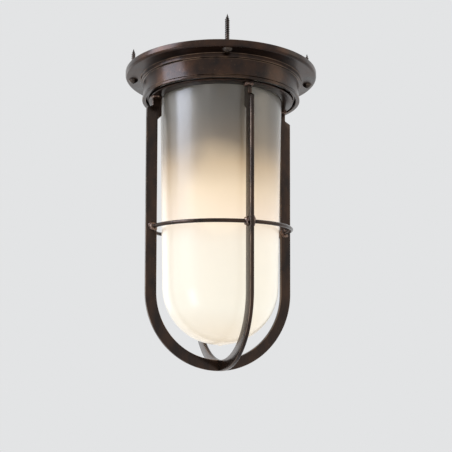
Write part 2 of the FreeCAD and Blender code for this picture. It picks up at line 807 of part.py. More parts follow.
def wire_brazes():
    """Beads of braze where the wire enters and leaves each leg."""
    beads = body("wire_brazes")
    profile = sketch(beads, "wire_braze_profile", "XY_Plane", "-wire_level")
    foot, crest = "strap_thickness / 2", "strap_thickness / 2 + bead_length"
    bore = "wire_circle + wire_radius + bead_gap"
    for sign in ("", "-"):
        outline(profile, (bore, f"{sign}({foot})"), [
            ("wire_circle + wire_radius + bead_swell", f"{sign}({foot})"),
            ("wire_circle + wire_radius + bead_tip", f"{sign}({crest})"),
            (bore, f"{sign}({crest})"),
            (bore, f"{sign}({foot})"),
        ])
    centre_line(profile, "wire_circle")
    bead = revolve(beads, "wire_braze_turned", profile, "Axis0")
    around(beads, "wire_braze_pattern", [bead], 4)
    return beads


def strap_brazes():
    """Collars of braze round the necks, under the guard ring."""
    collars = body("strap_brazes")
    collar = sketch(collars, "strap_braze_outline", "XY_Plane", "ring_under - braze_height")
    outer, half = "neck_outer + braze_cover", "(strap_thickness / 2 + braze_side)"
    slot, inner = "strap_thickness / 2", "neck_inner + braze_inset"
    outline(collar, (inner, f"-{half}"), [
        (outer, f"-{half}"), (outer, half), (inner, half), (inner, slot),
        ("neck_outer", slot), ("neck_outer", f"-{slot}"), (inner, f"-{slot}"), (inner, f"-{half}"),
    ])
    raised = pad(collars, "strap_braze", collar, "braze_height")
    around(collars, "strap_braze_pattern", [raised], 4)
    return collars


# ---- the lantern -----------------------------------------------------------------------------

def lantern():
    return [
        housing_casting(), ceiling_gasket(), ceiling_screws(), upper_washer(),
        bracket(),
        machine_screws("bracket_screws", "bracket_screw_circle", "bracket_thickness + bracket_screw_depth", 2),
        machine_screws("lampholder_screws", "fixing_place", "fixing_depth", 2),
        machine_screws("ground_screw", "ground_place", "ground_length"),
        lampholder_body(), terminal_screw("line_terminal_screw", 0),
        terminal_screw("neutral_terminal_screw", 180),
        lampholder_shell(), centre_contact(),
        lamp_envelope(), lamp_base(), lamp_insulator(), lamp_contact(), lamp_stem(), lamp_filament(),
        glass_jar(), lower_washer(),
        guard_ring(), guard_strap("guard_strap_x", "XZ_Plane", True),
        guard_strap("guard_strap_y", "YZ_Plane", False),
        guard_wire(), wire_brazes(), strap_brazes(),
    ]


def check(pieces):
    """Refuse a document with a failed feature or a broken shape."""
    for thing in doc.Objects:
        if "Invalid" in thing.State or "Error" in thing.State:
            raise RuntimeError(f"{thing.Name}: {thing.State}")
    for piece in pieces:
        if piece.Shape.isNull() or not piece.Shape.isValid() or not piece.Shape.Solids:
            raise RuntimeError(f"{piece.Label} has no valid solid")


def write(pieces):
    os.makedirs("parts", exist_ok=True)
    for piece in pieces:
        piece.Shape.exportStep(f"parts/{piece.Label}.step")
        print(f"{piece.Label}: {len(piece.Shape.Solids)} solid(s), {piece.Shape.Volume / 1000:.2f} cm3")


fill_sheet()
all_pieces = lantern()
doc.recompute()
check(all_pieces)
write(all_pieces)
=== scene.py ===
import json
import math

import bmesh
import bpy
from mathutils import Matrix, Vector, noise


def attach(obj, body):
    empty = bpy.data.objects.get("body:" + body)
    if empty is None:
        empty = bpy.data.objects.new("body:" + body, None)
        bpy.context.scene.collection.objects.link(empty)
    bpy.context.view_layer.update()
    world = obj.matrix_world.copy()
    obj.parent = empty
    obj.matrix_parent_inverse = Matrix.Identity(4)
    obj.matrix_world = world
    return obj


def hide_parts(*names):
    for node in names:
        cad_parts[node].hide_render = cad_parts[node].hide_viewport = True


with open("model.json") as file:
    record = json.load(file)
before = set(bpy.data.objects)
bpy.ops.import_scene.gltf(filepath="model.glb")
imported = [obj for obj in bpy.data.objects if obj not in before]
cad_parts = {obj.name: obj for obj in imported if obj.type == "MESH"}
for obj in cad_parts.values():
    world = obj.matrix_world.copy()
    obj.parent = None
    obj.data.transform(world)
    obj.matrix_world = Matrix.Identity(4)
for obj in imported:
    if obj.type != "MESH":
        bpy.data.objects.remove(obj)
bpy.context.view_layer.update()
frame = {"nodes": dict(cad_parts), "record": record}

MM = 0.001
FULL_TURN = 2 * math.pi
QUARTER_TURN = math.pi / 2

# camera, in metres and radians: the lantern seen from a little below its middle, with the front leg
# turned to the right; the focal length and the shift are in pixels of the picture
CAMERA_TURN = math.radians(-21.8)
CAMERA_DISTANCE = 0.6072
CAMERA_HEIGHT = -0.2146
CAMERA_PITCH = 0.0517
CAMERA_YAW = 0.0081
CAMERA_ROLL = 0.0030
FOCAL_PIXELS = 706.4
SHIFT_PIXELS = 60.0
PICTURE_PIXELS = 452.0
SENSOR_WIDTH = 36.0

# sizes that pieces share, in millimetres; UNDER, TOP and LEVEL are heights, with the ceiling at 0
FLANGE_UNDER = -5.3
RING_UNDER = -24.6
STRAP_HALF = 1.6
WIRE_CIRCLE = 60.9
WIRE_LEVEL = -135.0
# the ceiling screws' circle, and the first one's place round it
SCREW_CIRCLE = 76.0
SCREW_TURN = math.radians(-18.2)

# steps in a full turn of a large piece, of the lamp and of a small screw
LARGE_STEPS = 200
LAMP_STEPS = 96
SCREW_STEPS = 28


# ---- materials -------------------------------------------------------------------------------

# nearly all of a noise texture's values lie in this span
NOISE_SPAN = {"From Min": 0.3, "From Max": 0.7}
# a rubbed fleck's size beside that of a cloud
FLECK_SHARE = 0.16
# tool and cleaning marks on plated metal
SCRATCH_MM = 0.6
SCRATCH_DEEP_MM = 0.012


def colour(code):
    """sRGB hex to linear RGBA."""
    parts = [int(code[index:index + 2], 16) / 255 for index in (1, 3, 5)]
    return [part / 12.92 if part <= 0.04045 else ((part + 0.055) / 1.055) ** 2.4 for part in parts] + [1.0]


def per_metre(size_mm):
    """A pattern's scale on Object coordinates, from the real size of one of its marks."""
    return 1000 / size_mm


def add(tree, kind, settings=None, links=None):
    """One node with its settings and its links, each by the name or number of an input.

    A ramp's stops are (place, colour code); a link is (node, output).
    """
    node = tree.nodes.new("ShaderNode" + kind)
    for name, value in (settings or {}).items():
        if name == "stops":
            marks = node.color_ramp.elements
            while len(marks) < len(value):
                marks.new(0.5)
            for mark, (place, code) in zip(marks, value):
                mark.position = place
                mark.color = colour(code)
        elif isinstance(name, int) or name in node.inputs:
            node.inputs[name].default_value = value
        else:
            setattr(node, name, value)
    for name, (source, output) in (links or {}).items():
        tree.links.new(source.outputs[output], node.inputs[name])
    return node


def begin(name):
    """An empty material and its tree."""
    material = bpy.data.materials.new(name)
    material.use_nodes = True
    material.node_tree.nodes.clear()
    return material, material.node_tree


def patinated(name, deep, light, rubbed_and_highlight, cloud_mm, grain_mm, grain_deep_mm, stretch=(1, 1, 1),
              roughness=0.32, coat=0.4):
    """Metal darkened by hand and waxed: cloudy from deep to light, flecked, rubbed bare on its edges, whose
    pale colour is partly a painted highlight.
    """
    material, tree = begin(name)
    place = add(tree, "TexCoord")
    along = add(tree, "Mapping", {"Scale": stretch}, {"Vector": (place, "Object")})
    clouds = add(tree, "TexNoise", {"Scale": per_metre(cloud_mm), "Detail": 5.0, "Roughness": 0.6},
                 {"Vector": (along, 0)})
    tone = add(tree, "ValToRGB", {"stops": [(0.34, deep), (0.66, light)]}, {"Fac": (clouds, "Fac")})
    flecks = add(tree, "TexNoise", {"Scale": per_metre(cloud_mm * FLECK_SHARE), "Detail": 2.0},
                 {"Vector": (along, 0)})
    fleck = add(tree, "MapRange", {"From Min": 0.66, "From Max": 0.78, "To Max": 0.18},
                {"Value": (flecks, "Fac")})
    patch = add(tree, "MapRange", {"From Min": 0.4, "From Max": 0.62, "To Min": 0.1, "To Max": 0.75},
                {"Value": (clouds, "Fac")})
    # rounded edges and braze crests take the pale rubbed colour: rubbed wear, and partly a painted highlight
    edge = add(tree, "Attribute", {"attribute_name": "wear"})
    worn_and_highlit = add(tree, "Math", {"operation": "MULTIPLY"}, {0: (edge, "Fac"), 1: (patch, 0)})
    bare_and_highlit = add(tree, "Math", {"operation": "MAXIMUM"}, {0: (worn_and_highlit, 0), 1: (fleck, 0)})
    paint = add(tree, "Mix", {"data_type": "RGBA", 7: colour(rubbed_and_highlight)}, {0: (bare_and_highlit, 0), 6: (tone, "Color")})
    grain = add(tree, "TexNoise", {"Scale": per_metre(grain_mm), "Detail": 3.0}, {"Vector": (along, 0)})
    skin = add(tree, "Bump", {"Distance": grain_deep_mm * MM}, {"Height": (grain, "Fac")})
    dull = add(tree, "MapRange", {**NOISE_SPAN, "To Min": roughness - 0.06, "To Max": roughness + 0.08},
               {"Value": (clouds, "Fac")})
    shader = add(tree, "BsdfPrincipled", {"Metallic": 0.9, "Coat Weight": coat, "Coat Roughness": 0.2},
                 {"Base Color": (paint, 2), "Roughness": (dull, 0), "Normal": (skin, 0)})
    add(tree, "OutputMaterial", links={"Surface": (shader, 0)})
    return material


def plated(name, dim, bright, roughness, cloud_mm, crowd=(1, 1, 1)):
    """Bright small metal: faintly clouded and finely scratched, its lines crowded along an axis."""
    material, tree = begin(name)
    place = add(tree, "TexCoord")
    along = add(tree, "Mapping", {"Scale": crowd}, {"Vector": (place, "Object")})
    clouds = add(tree, "TexNoise", {"Scale": per_metre(cloud_mm), "Detail": 4.0},
                 {"Vector": (place, "Object")})
    tone = add(tree, "ValToRGB", {"stops": [(0.35, dim), (0.65, bright)]}, {"Fac": (clouds, "Fac")})
    lines = add(tree, "TexNoise", {"Scale": per_metre(SCRATCH_MM), "Detail": 2.0}, {"Vector": (along, 0)})
    skin = add(tree, "Bump", {"Distance": SCRATCH_DEEP_MM * MM}, {"Height": (lines, "Fac")})
    dull = add(tree, "MapRange", {**NOISE_SPAN, "To Min": roughness - 0.07, "To Max": roughness + 0.09},
               {"Value": (clouds, "Fac")})
    shader = add(tree, "BsdfPrincipled", {"Metallic": 1.0},
                 {"Base Color": (tone, 0), "Roughness": (dull, 0), "Normal": (skin, 0)})
    add(tree, "OutputMaterial", links={"Surface": (shader, 0)})
    return material


def moulded(name, dark, pale, roughness, cloud_mm, grain_mm, grain_deep_mm, coat=0.0):
    """Glaze, rubber or black glass: an even body with a faint drift of tone and a fine skin."""
    material, tree = begin(name)
    place = add(tree, "TexCoord")
    clouds = add(tree, "TexNoise", {"Scale": per_metre(cloud_mm), "Detail": 3.0},
                 {"Vector": (place, "Object")})
    tone = add(tree, "ValToRGB", {"stops": [(0.35, dark), (0.65, pale)]}, {"Fac": (clouds, "Fac")})
    dull = add(tree, "MapRange", {**NOISE_SPAN, "To Min": roughness * 0.85, "To Max": roughness * 1.15},
               {"Value": (clouds, "Fac")})
    grain = add(tree, "TexNoise", {"Scale": per_metre(grain_mm), "Detail": 2.0},
                {"Vector": (place, "Object")})
    skin = add(tree, "Bump", {"Distance": grain_deep_mm * MM}, {"Height": (grain, "Fac")})
    shader = add(tree, "BsdfPrincipled", {"Coat Weight": coat, "Coat Roughness": 0.05},
                 {"Base Color": (tone, 0), "Roughness": (dull, 0), "Normal": (skin, 0)})
    add(tree, "OutputMaterial", links={"Surface": (shader, 0)})
    return material


# the lamp's glow: its middle's level, how far round that it is full, and where it has died away
GLOW_LEVEL = -105.0
GLOW_FULL = 28.0
GLOW_END = 55.0


def lamp_glass():
    """Thin soda glass, frosted inside: a lit, milky bulb, warmest round its middle."""
    material, tree = begin("inside_frosted_lamp_glass")
    place = add(tree, "TexCoord")
    centred = add(tree, "Mapping", {"Location": (0, 0, -GLOW_LEVEL * MM)}, {"Vector": (place, "Object")})
    away = add(tree, "VectorMath", {"operation": "LENGTH"}, {0: (centred, 0)})
    near = add(tree, "MapRange", {"From Min": GLOW_FULL * MM, "From Max": GLOW_END * MM},
               {"Value": (away, "Value")})
    glow = add(tree, "ValToRGB", {"stops": [(0.0, "#fff1da"), (1.0, "#5b4a38")]}, {"Fac": (near, 0)})
    shader = add(tree, "BsdfPrincipled", {
        "Base Color": colour("#f2eee2"), "Roughness": 0.25, "Emission Strength": 0.8},
        {"Emission Color": (glow, 0)})
    add(tree, "OutputMaterial", links={"Surface": (shader, 0)})
    return material


# lamplight painted into the jar as glow, from its level under the ring to the one at its foot: painted
# shade beside the lampholder, full painted glow from a little below the lamp's middle
JAR_PAINTED_SHADE_LEVEL = -24.0
JAR_FOOT_LEVEL = -235.0
JAR_PAINTED_LAMPLIGHT = [
    (0.0, "#000000"), (0.1, "#110e0a"), (0.2, "#3d3226"), (0.3, "#827059"), (0.4, "#a09280"),
    (0.5, "#ab9f94"), (0.6, "#b0ada6"), (0.85, "#b0afa9"), (1.0, "#a99f91"),
]
# clouds in the opal, as many to a metre, and how far they shift the painted glow, in shares of the jar's
# height
OPAL_CLOUDS = 30.0
OPAL_DRIFT = 0.012
# the acid's frost, a few hundredths of a millimetre across, drawn ten times as coarse so that it shows
FROST_MM = 0.4
FROST_DEEP_MM = 0.05


def frosted_glass():
    """Blown opal glass, frosted by acid: silky, with the lamp's light from inside painted on as glow."""
    material, tree = begin("acid_frosted_opal_glass")
    place = add(tree, "TexCoord")
    parts = add(tree, "SeparateXYZ", links={"Vector": (place, "Object")})
    depth = add(tree, "MapRange", {"From Min": JAR_PAINTED_SHADE_LEVEL * MM, "From Max": JAR_FOOT_LEVEL * MM},
                {"Value": (parts, "Z")})
    cloud = add(tree, "TexNoise", {"Scale": OPAL_CLOUDS, "Detail": 2.0}, {"Vector": (place, "Object")})
    drift = add(tree, "MapRange", {**NOISE_SPAN, "To Min": -OPAL_DRIFT, "To Max": OPAL_DRIFT},
                {"Value": (cloud, "Fac")})
    level = add(tree, "Math", {"operation": "ADD"}, {0: (depth, 0), 1: (drift, 0)})
    # painted lamplight: the glass glows by its level, black near the top as painted shade beside the
    # lampholder
    glow = add(tree, "ValToRGB", {"stops": JAR_PAINTED_LAMPLIGHT}, {"Fac": (level, 0)})
    frost = add(tree, "TexNoise", {"Scale": per_metre(FROST_MM), "Detail": 2.0},
                {"Vector": (place, "Object")})
    skin = add(tree, "Bump", {"Strength": 0.3, "Distance": FROST_DEEP_MM * MM}, {"Height": (frost, "Fac")})
    shader = add(tree, "BsdfPrincipled", {
        "Base Color": colour("#aea799"), "Roughness": 0.34, "IOR": 1.45, "Transmission Weight": 0.74,
        "Coat Weight": 0.9, "Coat Roughness": 0.2, "Emission Strength": 1.0},
        {"Emission Color": (glow, 0), "Normal": (skin, 0)})
    add(tree, "OutputMaterial", links={"Surface": (shader, 0)})
    return material


# sand-cast bronze, turned and oil-rubbed: near black with brown clouds, mirrors pale light at a slant; its
# rounded edges rubbed pale, partly a painted highlight
CAST_BRONZE = patinated("oil_rubbed_cast_bronze", "#1d1009", "#402716", "#94785f", 16.0, 0.8, 0.02)
# drawn bronze bar and wire, oil-rubbed: the same brown with its clouds drawn out down the bar; the bars'
# edges rubbed pale, partly a painted highlight
BAR_BRONZE = patinated("oil_rubbed_drawn_bronze", "#1e120a", "#3d2717", "#947b66", 10.0, 0.7, 0.015,
                       stretch=(1, 1, 0.4), roughness=0.28, coat=0.5)
# brazing bronze left as it froze: dark copper red, its lumps' crests painted bright, partly rubbed and partly
# a painted highlight
BRAZE = patinated("fused_brazing_bronze", "#35231b", "#6d4c3a", "#a08b7c", 2.4, 0.7, 0.05,
                  roughness=0.3, coat=0.7)
# brass screws blackened like the casting: dark brown, rubbed bare in flecks
SCREW_BRONZE = patinated("blackened_screw_brass", "#1f1813", "#54463a", "#ab9a8a", 4.0, 0.5, 0.01)
# zinc plate on pressed steel: cool grey, faintly spangled
ZINC = plated("zinc_plated_steel", "#989b9e", "#b2b5b8", 0.36, 5.0, crowd=(1, 6, 1))
# spun brass shell and pressed contact: clean yellow, fine rings from the tool
BRASS = plated("spun_yellow_brass", "#a98544", "#cfab6b", 0.28, 9.0, crowd=(1, 1, 8))
# nickel plate on the lamp's cap: warm grey, soft shine
NICKEL = plated("nickel_plated_brass", "#a19d95", "#c6c2b8", 0.26, 7.0, crowd=(1, 1, 8))
# steel ground screw, passivated green: coloured, metallic, a little dull
GREEN = plated("green_passivated_steel", "#1f5a34", "#35804d", 0.38, 3.0)
# tin solder on the lamp's tip: dull grey, dimpled
SOLDER = plated("dull_tin_solder", "#77787a", "#a5a5a6", 0.45, 2.0)
# brown glazed porcelain: glassy, deep brown, thinner and redder where the glaze ran; the deep brown is partly
# painted shade, darkening the lampholder seen through the jar
PORCELAIN = moulded("brown_glazed_porcelain", "#24150e", "#3d2416", 0.16, 18.0, 4.0, 0.02, coat=0.8)
# black insulating glass in the lamp's cap: poured, shiny
BLACK_GLASS = moulded("poured_black_glass", "#0b0c0e", "#17181b", 0.12, 5.0, 1.0, 0.01, coat=0.5)
# moulded rubber: matt black, slightly grey with bloom
RUBBER = moulded("moulded_black_rubber", "#131313", "#232322", 0.62, 6.0, 0.8, 0.03)

# each of the record's material slots and its finish
FINISHES = {
    "dark_bronze": CAST_BRONZE,
    "bronzed_screw": SCREW_BRONZE,
    "braze": BRAZE,
    "brass": BRASS,
    "nickel": NICKEL,
    "zinc_steel": ZINC,
    "green_screw": GREEN,
    "solder": SOLDER,
    "porcelain": PORCELAIN,
    "black_glass": BLACK_GLASS,
    "lamp_glass": lamp_glass(),
    "frosted_glass": frosted_glass(),
    "black_rubber": RUBBER,
}
for part in frame["record"]["subparts"]:
    for slot in frame["nodes"][part["node"]].material_slots:
        slot.material = FINISHES[part["material_slot"]]


# ---- shaping ---------------------------------------------------------------------------------

# points nearer to each other than this become one, in millimetres
MERGE_WITHIN = 0.002


def blank():
    """An empty mesh whose points can be marked as worn and as painted highlight."""
    mesh = bmesh.new()
    mesh.verts.layers.float.new("wear")
    return mesh


def turn_round(mesh, steps):
    """Turn all of a mesh once about Z, with its faces outwards."""
    bmesh.ops.spin(mesh, geom=mesh.verts[:] + mesh.edges[:], cent=(0, 0, 0), axis=(0, 0, 1),
                   angle=FULL_TURN, steps=steps, use_merge=True)
    bmesh.ops.remove_doubles(mesh, verts=mesh.verts, dist=MERGE_WITHIN * MM)
    faceless = [edge for edge in mesh.edges if edge.is_wire]
    bmesh.ops.delete(mesh, geom=faceless, context="EDGES")
    bmesh.ops.recalc_face_normals(mesh, faces=mesh.faces)
    return mesh


class Outline:
    """A profile in the XZ plane, drawn corner by corner in millimetres, then turned about Z."""

    def __init__(self, x, z):
        self.mesh = blank()
        self.first = self.last = self.mesh.verts.new((x * MM, 0, z * MM))

    def line(self, *corners):
        """Go straight to each corner in turn."""
        for x, z in corners:
            made = bmesh.ops.extrude_vert_indiv(self.mesh, verts=[self.last])
            self.last = made["verts"][0]
            self.last.co = (x * MM, 0, z * MM)
        return self

    def arc(self, x, z, degrees, steps):
        """Swing the last corner about (x, z), from +X towards -Z for positive degrees."""
        made = bmesh.ops.spin(self.mesh, geom=[self.last], cent=(x * MM, 0, z * MM), axis=(0, 1, 0),
                              angle=math.radians(degrees), steps=steps)
        self.last = next(item for item in made["geom_last"] if isinstance(item, bmesh.types.BMVert))
        return self

    def close(self):
        """Join the last corner to the first."""
        self.mesh.edges.new((self.last, self.first))
        return self

    def turn(self, steps):
        """Turn the profile into a round solid."""
        return turn_round(self.mesh, steps)


def soften(mesh, width, segments, angle, where=None):
    """Round edges that turn by more than an angle, and mark the points inside each round as worn and as
    painted highlight.
    """
    edges = [edge for edge in mesh.edges if len(edge.link_faces) == 2
             and edge.calc_face_angle(0) > math.radians(angle) and (where is None or where(edge))]
    made = bmesh.ops.bevel(mesh, geom=edges, offset=width * MM, offset_type="OFFSET", affect="EDGES",
                           segments=segments, profile=0.5, material=-1, clamp_overlap=True, loop_slide=True)
    rounds = set(made["faces"])
    wear = mesh.verts.layers.float["wear"]
    for face in rounds:
        for vert in face.verts:
            if all(linked in rounds for linked in vert.link_faces):
                vert[wear] = 1.0
    return mesh


def thread(mesh, root, crest, width, pitch, bottom, turns, steps):
    """Add a screw thread's ridge: a small triangle carried round and up, in so many steps a turn."""
    corners = [mesh.verts.new((x * MM, 0, z * MM))
               for x, z in ((root, bottom), (crest, bottom + 0.5 * width), (root, bottom + width))]
    end = mesh.faces.new(corners)
    bmesh.ops.spin(mesh, geom=[end] + list(end.edges) + corners, cent=(0, 0, 0), axis=(0, 0, 1),
                   dvec=(0, 0, pitch * MM / steps), angle=FULL_TURN * turns, steps=int(steps * turns))
    ridge = set(corners)
    grown = list(corners)
    while grown:
        for edge in grown.pop().link_edges:
            for vert in edge.verts:
                if vert not in ridge:
                    ridge.add(vert)
                    grown.append(vert)
    bmesh.ops.recalc_face_normals(mesh, faces=list({face for vert in ridge for face in vert.link_faces}))
    return mesh


def merge(target, source):
    """Move one mesh into another."""
    data = bpy.data.meshes.new("joined")
    source.to_mesh(data)
    source.free()
    target.from_mesh(data)
    bpy.data.meshes.remove(data)


def to_object(name, mesh):
    """Put a mesh in the scene as an object at the origin."""
    data = bpy.data.meshes.new(name)
    mesh.to_mesh(data)
    mesh.free()
    thing = bpy.data.objects.new(name, data)
    bpy.context.collection.objects.link(thing)
    return thing


def block(low, high):
    """A box between two corners, for cutting with."""
    mesh = bmesh.new()
    bmesh.ops.create_cube(mesh, size=1.0)
    bmesh.ops.scale(mesh, vec=(Vector(high) - Vector(low)) * MM, verts=mesh.verts)
    bmesh.ops.translate(mesh, vec=(Vector(high) + Vector(low)) * MM / 2, verts=mesh.verts)
    return mesh


def drill(radius, low, high, places):
    """Round pins standing at each place, for cutting holes with."""
    mesh = bmesh.new()
    for x, y in places:
        made = bmesh.ops.create_cone(mesh, cap_ends=True, segments=40, radius1=radius * MM,
                                     radius2=radius * MM, depth=(high - low) * MM)
        bmesh.ops.translate(mesh, vec=Vector((x, y, (high + low) / 2)) * MM, verts=made["verts"])
    return mesh


def cut(thing, cutter_mesh):
    """Take a cutter's shape out of a piece for good."""
    cutter = to_object("cutter", cutter_mesh)
    tool = thing.modifiers.new("cut", "BOOLEAN")
    tool.operation = "DIFFERENCE"
    tool.solver = "EXACT"
    tool.object = cutter
    data = bpy.data.meshes.new_from_object(thing.evaluated_get(bpy.context.evaluated_depsgraph_get()))
    thing.modifiers.clear()
    old = thing.data
    thing.data = data
    bpy.data.meshes.remove(old)
    bpy.data.meshes.remove(cutter.data)
    return thing


def finish(thing, body, slot, node, material=None, smooth=40):
    """Shade a piece, give it its finish, put it on its body and let it stand for its CAD node."""
    thing.data.materials.clear()
    thing.data.materials.append(material or FINISHES[slot])
    thing.data.shade_smooth()
    thing.data.set_sharp_from_angle(angle=math.radians(smooth))
    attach(thing, body)
    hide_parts(node)


# ---- housing ---------------------------------------------------------------------------------

# the flange and the groove in its back for the gasket
FLANGE_RADIUS = 82.5
RIM_ROUND = 2.0
GROOVE_INSIDE = 71.0
GROOVE_OUTSIDE = 81.0
GROOVE_LEVEL = -1.2
# the bead, the drum and its lip
BEAD_RADIUS = 69.6
BEAD_UNDER = -8.7
DRUM_RADIUS = 67.5
DRUM_UNDER = -21.5
LIP_RADIUS = 68.2
LIP_TOP = -22.2
LIP_UNDER = -24.1
# the openings behind and below, and the shelf between them
BACK_RADIUS = 64.0
MOUTH_RADIUS = 65.0
SHELF_BORE = 52.0
SHELF_TOP = -9.0
SHELF_UNDER = -12.0
# the ceiling screws' holes, drilled right through the flange
HOLE_RADIUS = 2.5
DRILL_UNDER = -7.0
DRILL_TOP = 2.0


def housing():
    """Flange, bead and drum: one bronze casting, its outside turned on a lathe."""
    outline = Outline(SHELF_BORE, SHELF_TOP).line((BACK_RADIUS, SHELF_TOP), (BACK_RADIUS, 0))
    outline.line((GROOVE_INSIDE, 0), (GROOVE_INSIDE, GROOVE_LEVEL), (GROOVE_OUTSIDE, GROOVE_LEVEL),
                 (GROOVE_OUTSIDE, 0), (FLANGE_RADIUS, 0), (FLANGE_RADIUS, FLANGE_UNDER + RIM_ROUND))
    outline.arc(FLANGE_RADIUS - RIM_ROUND, FLANGE_UNDER + RIM_ROUND, 90, steps=6)
    outline.line((BEAD_RADIUS, FLANGE_UNDER), (BEAD_RADIUS, BEAD_UNDER), (DRUM_RADIUS, BEAD_UNDER),
                 (DRUM_RADIUS, DRUM_UNDER), (LIP_RADIUS, LIP_TOP), (LIP_RADIUS, LIP_UNDER),
                 (MOUTH_RADIUS, LIP_UNDER), (MOUTH_RADIUS, SHELF_UNDER), (SHELF_BORE, SHELF_UNDER))
    mesh = soften(outline.close().turn(LARGE_STEPS), width=0.4, segments=3, angle=30)
    places = [(SCREW_CIRCLE * math.cos(SCREW_TURN + index * QUARTER_TURN),
               SCREW_CIRCLE * math.sin(SCREW_TURN + index * QUARTER_TURN)) for index in range(4)]
    casting = cut(to_object("housing", mesh), drill(HOLE_RADIUS, DRILL_UNDER, DRILL_TOP, places))
    finish(casting, "housing", "dark_bronze", "housing_casting")


# a screw from its head up: a round head, a plain shank and a thinner core with the thread on it
HEAD_CROWN = -8.2
DOME_CENTRE = -3.852
DOME_DEGREES = 70.55
SHANK_RADIUS = 2.2
SHANK_TOP = 0.4
CORE_RADIUS = 1.35
CORE_UNDER = 1.0
CORE_TOP = 17.7
POINT_LEVEL = 22.6
# the driver's slot: its cutter, wider than the head, and the way it was left pointing on each screw
SLOT_REACH = 6.0
SLOT_HALF = 0.55
SLOT_TOP = -6.9
SLOT_UNDER = -9.0
SLOT_DEGREES = (20, 65, -35, 100)
# the wood thread, whose radius shrinks to a tenth over its last stretch
WOOD_PITCH = 1.7
TAPER_TOP = 22.7
TAPER_LENGTH = 5.0
TAPER_LEAST = 0.1


def ceiling_screws():
    """Slotted round-head wood screws, each slot left where the driver stopped."""
    whole = blank()
    for index, slot_degrees in enumerate(SLOT_DEGREES):
        outline = Outline(0, HEAD_CROWN).arc(0, DOME_CENTRE, -DOME_DEGREES, steps=8)
        outline.line((SHANK_RADIUS, FLANGE_UNDER), (SHANK_RADIUS, SHANK_TOP), (CORE_RADIUS, CORE_UNDER),
                     (CORE_RADIUS, CORE_TOP), (0, POINT_LEVEL))
        solid = to_object("screw", outline.turn(SCREW_STEPS))
        screw = cut(solid, block((-SLOT_REACH, -SLOT_HALF, SLOT_UNDER), (SLOT_REACH, SLOT_HALF, SLOT_TOP)))
        shape = blank()
        shape.from_mesh(screw.data)
        bpy.data.meshes.remove(screw.data)
        spiral = thread(blank(), root=1.2, crest=1.9, width=0.9, pitch=WOOD_PITCH, bottom=1.2, turns=11.5,
                        steps=20)
        for vert in spiral.verts:
            share = min(1.0, max(TAPER_LEAST, (TAPER_TOP * MM - vert.co.z) / (TAPER_LENGTH * MM)))
            vert.co.x *= share
            vert.co.y *= share
        merge(shape, spiral)
        place = Matrix.Rotation(SCREW_TURN + index * QUARTER_TURN, 4, "Z")
        place = place @ Matrix.Translation((SCREW_CIRCLE * MM, 0, 0))
        bmesh.ops.transform(shape, matrix=place @ Matrix.Rotation(math.radians(slot_degrees), 4, "Z"),
                            verts=shape.verts)
        merge(whole, shape)
    finish(to_object("ceiling_screw_set", whole), "housing", "bronzed_screw", "ceiling_screws")


# ---- glass -----------------------------------------------------------------------------------

# the jar's lip, and its wall from the neck down to where the round end begins
JAR_LIP_RADIUS = 60.0
JAR_LIP_TOP = -13.6
JAR_LIP_UNDER = -17.6
JAR_BORE = 49.7
JAR_NECK_RADIUS = 52.7
JAR_END_RADIUS = 49.8
JAR_END_TOP = -184.5
# the centre of the round end, its swing outside and inside, and the level of its floor
END_CENTRE = -184.098
END_DEGREES = 86.7
END_CENTRE_INSIDE = -184.1
END_DEGREES_INSIDE = 89.5
END_FLOOR = -230.9
# the pip in the middle of the round end
PIP = ((2.2, -233.95), (1.7, -234.3), (0.7, -234.5), (0, -234.5))
# only the lip's edges, those above this level, are rounded
LIP_EDGES_UNDER = -20.0


def jar():
    """Blown jar: flat lip, wall tapering a little, round end with the pip left by the mould."""
    outline = Outline(JAR_BORE, JAR_LIP_TOP).line((JAR_LIP_RADIUS, JAR_LIP_TOP))
    outline.line((JAR_LIP_RADIUS, JAR_LIP_UNDER), (JAR_NECK_RADIUS, JAR_LIP_UNDER))
    outline.line((JAR_END_RADIUS, JAR_END_TOP)).arc(0, END_CENTRE, END_DEGREES, steps=32).line(*PIP)
    outline.line((0, END_FLOOR)).arc(0, END_CENTRE_INSIDE, -END_DEGREES_INSIDE, steps=32)
    outline.line((JAR_BORE, JAR_LIP_UNDER)).close()
    mesh = soften(outline.turn(LARGE_STEPS), width=0.6, segments=3, angle=50,
                  where=lambda edge: edge.verts[0].co.z > LIP_EDGES_UNDER * MM)
    finish(to_object("jar", mesh), "glass", "frosted_glass", "glass_jar", smooth=50)


# ---- guard -----------------------------------------------------------------------------------

# the ring's plain nose with its rounded edge, its threaded collar, and the seat under the washer
RING_BORE = 53.3
NOSE_RADIUS = 62.6
NOSE_ROUND = 0.8
NOSE_TOP = -21.6
COLLAR_RADIUS = 64.05
COLLAR_TOP = -12.5
SEAT_RADIUS = 60.6
SEAT_LEVEL = -19.2
GUARD_PITCH = 2.5


def ring():
    """Screwed ring: plain nose below, coarse thread above."""
    outline = Outline(RING_BORE, RING_UNDER).line((NOSE_RADIUS - NOSE_ROUND, RING_UNDER))
    outline.arc(NOSE_RADIUS - NOSE_ROUND, RING_UNDER + NOSE_ROUND, -90, steps=5)
    outline.line((NOSE_RADIUS, NOSE_TOP), (COLLAR_RADIUS, NOSE_TOP), (COLLAR_RADIUS, COLLAR_TOP),
                 (SEAT_RADIUS, COLLAR_TOP), (SEAT_RADIUS, SEAT_LEVEL), (RING_BORE, SEAT_LEVEL)).close()
    mesh = soften(outline.turn(LARGE_STEPS), width=0.35, segments=3, angle=30)
    thread(mesh, root=63.9, crest=64.65, width=1.6, pitch=GUARD_PITCH, bottom=-21.4, turns=2.7, steps=120)
    finish(to_object("ring", mesh), "guard", "dark_bronze", "guard_ring", smooth=30)


# radii of a bar's inner and outer edges: at its neck, at its shoulder, and from there on
NECK = (54.0, 62.0)
SHOULDER = (54.0, 67.0)
BAR = (57.5, 67.0)
